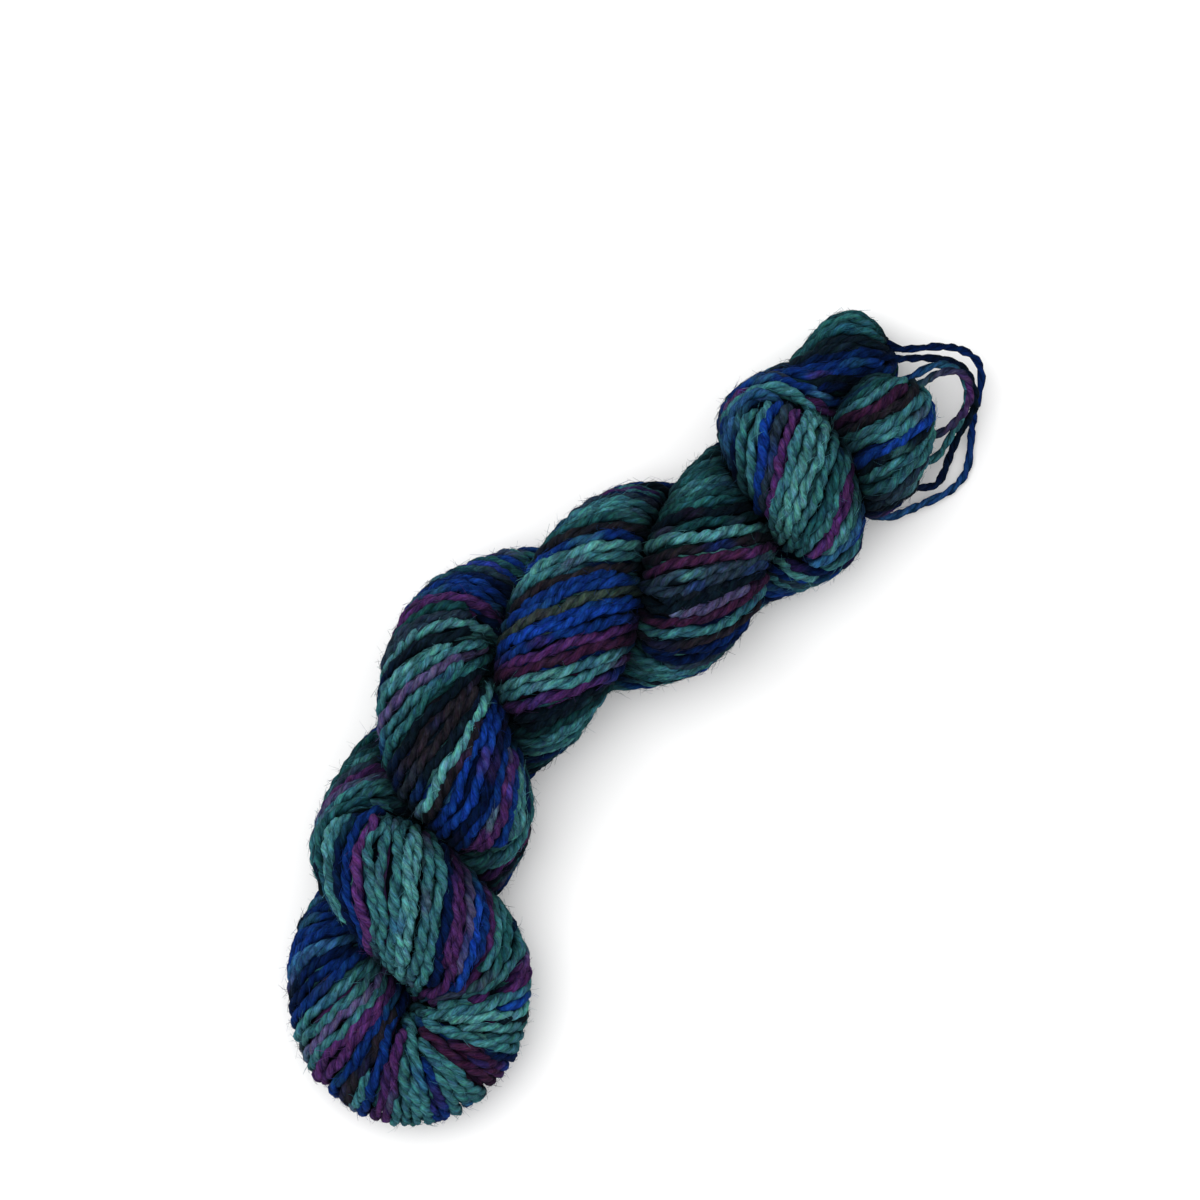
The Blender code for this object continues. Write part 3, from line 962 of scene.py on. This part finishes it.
def make_core(sweep, shift, material):
    """The inside of the skein, painted dark as the shade that shows only between strands."""
    tubes = Tubes()
    turns = np.arange(CORE_SIDES) * 2 * math.pi / CORE_SIDES
    rings = sweep.ring_points(turns, CORE_INSET)[::CORE_STRIDE] + shift
    rings[..., 2] = np.maximum(rings[..., 2], CORE_FLOOR)
    rows, sides = rings.shape[:2]
    index = np.arange(rows * sides).reshape(rows, sides)
    after = np.roll(index, -1, axis=1)
    quads = np.stack([index[:-1], after[:-1], after[1:], index[1:]], axis=-1).reshape(-1, 4)
    tubes.faces = quads.tolist() + [index[0][::-1].tolist(), index[-1].tolist()]
    tubes.points = [rings.reshape(-1, 3)]
    tubes.lays = [rings.reshape(-1, 3)]
    # painted shade: dark coal, darkened further
    tubes.shaded_tints = [np.tile(np.array(COLOURS["coal"]) * CORE_SHADE, (rows * sides, 1))]
    tubes.count = rows * sides
    return tubes.build("yarn_inside", material)


def add_fibres(tubes, yarns, fibres, random):
    """Stray fibres of one kind on the strands, in small arcs."""
    lengths = np.array([len(yarn.points) for yarn in yarns], float)
    chances = lengths / lengths.sum()
    t = np.linspace(0.0, 1.0, FIBRE_RINGS)[:, None]
    for which in random.choice(len(yarns), fibres.count, p=chances):
        yarn = yarns[which]
        if len(yarn.points) < 2 * FIBRE_MARGIN + FIBRE_ROOM:
            continue
        row = int(random.integers(FIBRE_MARGIN, len(yarn.points) - FIBRE_MARGIN))
        out = yarn.outward[row]
        ahead = unit(yarn.points[row + 1] - yarn.points[row - 1])
        aside = np.cross(ahead, out)
        spin = random.uniform(-FIBRE_SPIN, FIBRE_SPIN)
        c, s = math.cos(spin), math.sin(spin)
        out, aside = out * c + aside * s, aside * c - out * s
        root = yarn.points[row] + out * fibres.root * yarn.thickness[row]
        first = ahead * random.choice((-1.0, 1.0)) * random.uniform(*fibres.ahead)
        first = first + out * random.uniform(*fibres.rise)
        first = unit(first + aside * random.uniform(-FIBRE_ASIDE, FIBRE_ASIDE))
        bend = ahead * random.uniform(-1, 1) + aside * random.uniform(-1, 1)
        bend = unit(bend - out * random.uniform(0.0, FIBRE_DROOP))
        size = random.uniform(*fibres.length)
        centres = root + first * t * size + bend * t**2 * size * fibres.curl
        if centres[:, 2].min() < FIBRE_FLOOR:
            continue
        radii = fibres.radius * (1.0 - FIBRE_TAPER * t[:, 0])
        colours = np.tile(yarn.colours[row] * random.uniform(*fibres.tone) + FIBRE_PALE, (FIBRE_RINGS, 1))
        across = np.tile(unit(np.cross(first, bend) + 1e-6), (FIBRE_RINGS, 1))
        tubes.add(centres, radii, across, colours, FIBRE_SIDES)


def traced(surface, spacing):
    """The strands of one layer, each with its colour word."""
    starts = [(along, math.pi / 2) for along in TOP_STARTS]
    starts += [(along, -math.pi / 2) for along in BOTTOM_STARTS]
    strands = Spread(surface, spacing).fill(starts)
    return zip(strands, stripe_words([crest_place(surface, places) for places in strands]))


def make_yarn(shift):
    """All the yarn of the hank: its inside painted dark as shade, two layers of strands, and stray fibres."""
    material = wool("variegated_wool")
    sweep = Sweep(skein_rows(), SWEEP_STEP)
    pieces = [make_core(sweep, shift, material)]
    random = np.random.default_rng(YARN_SEED)
    surface = Surface(sweep, STRAND / 2)
    groups = [Tubes() for _ in LOBES[1:]]
    yarns = []
    for places, word in traced(surface, SPACING):
        yarn = lay_yarn(surface, places, word, random, FINE_STEP)
        yarn = yarn._replace(points=yarn.points + shift)
        yarns.append(yarn)
        middle = places[len(places) // 2][0]
        groups[int(np.searchsorted(LOBES, middle)) - 1].add_yarn(yarn, random)
    for number, tubes in enumerate(groups):
        pieces.append(tubes.build(f"yarn_turns_{number + 1}", material))
    below = Tubes()
    deeper = Surface(sweep, STRAND / 2 + UNDER_LAYER)
    for places, word in traced(deeper, UNDER_SPACING):
        yarn = lay_yarn(deeper, places, word, random, UNDER_STEP, shade_factor=UNDER_SHADE)
        radii = UNDER_RADIUS * yarn.thickness
        radii[[0, -1]] = TIP_RADIUS
        below.add(yarn.points + shift, radii, yarn.outward, yarn.colours, UNDER_SIDES)
    pieces.append(below.build("yarn_below", material))
    for name, fibres in FIBRES.items():
        tubes = Tubes()
        add_fibres(tubes, yarns, fibres, np.random.default_rng(FIBRE_SEED))
        pieces.append(tubes.build(name, material))
    for piece in pieces:
        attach(piece, "root")
        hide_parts("hank")


def make_floor():
    """The plain pale floor."""
    mesh = bpy.data.meshes.new("floor")
    half = FLOOR_HALF
    corners = [(-half, -half, 0), (half, -half, 0), (half, half, 0), (-half, half, 0)]
    mesh.from_pydata(corners, [], [(0, 1, 2, 3)])
    material = bpy.data.materials.new("floor")
    material.use_nodes = True
    shader = material.node_tree.nodes["Principled BSDF"]
    for socket, value in FLOOR.items():
        shader.inputs[socket].default_value = value
    mesh.materials.append(material)
    floor = bpy.data.objects.new("floor", mesh)
    floor.location = (0.0, 0.0, -FLOOR_DROP)
    bpy.context.scene.collection.objects.link(floor)


def make_light():
    """A white room with two large soft lights."""
    scene = bpy.context.scene
    world = bpy.data.worlds.new("studio")
    world.use_nodes = True
    background = world.node_tree.nodes["Background"]
    background.inputs["Color"].default_value = WORLD_COLOUR
    background.inputs["Strength"].default_value = WORLD_STRENGTH
    scene.world = world
    for name, place, size, power in LIGHTS:
        data = bpy.data.lights.new(name, "AREA")
        data.shape = "DISK"
        data.size = size
        data.energy = power
        light = bpy.data.objects.new(name, data)
        light.location = place
        light.rotation_euler = (Vector(LIGHT_TARGET) - Vector(place)).to_track_quat("-Z", "Y").to_euler()
        scene.collection.objects.link(light)
    scene.view_settings.view_transform = "Standard"
    scene.view_settings.look = "None"


def main():
    make_camera()
    shift = table_shift()
    make_loops(shift, wool("loose_wool"))
    make_yarn(shift)
    make_floor()
    make_light()


main()
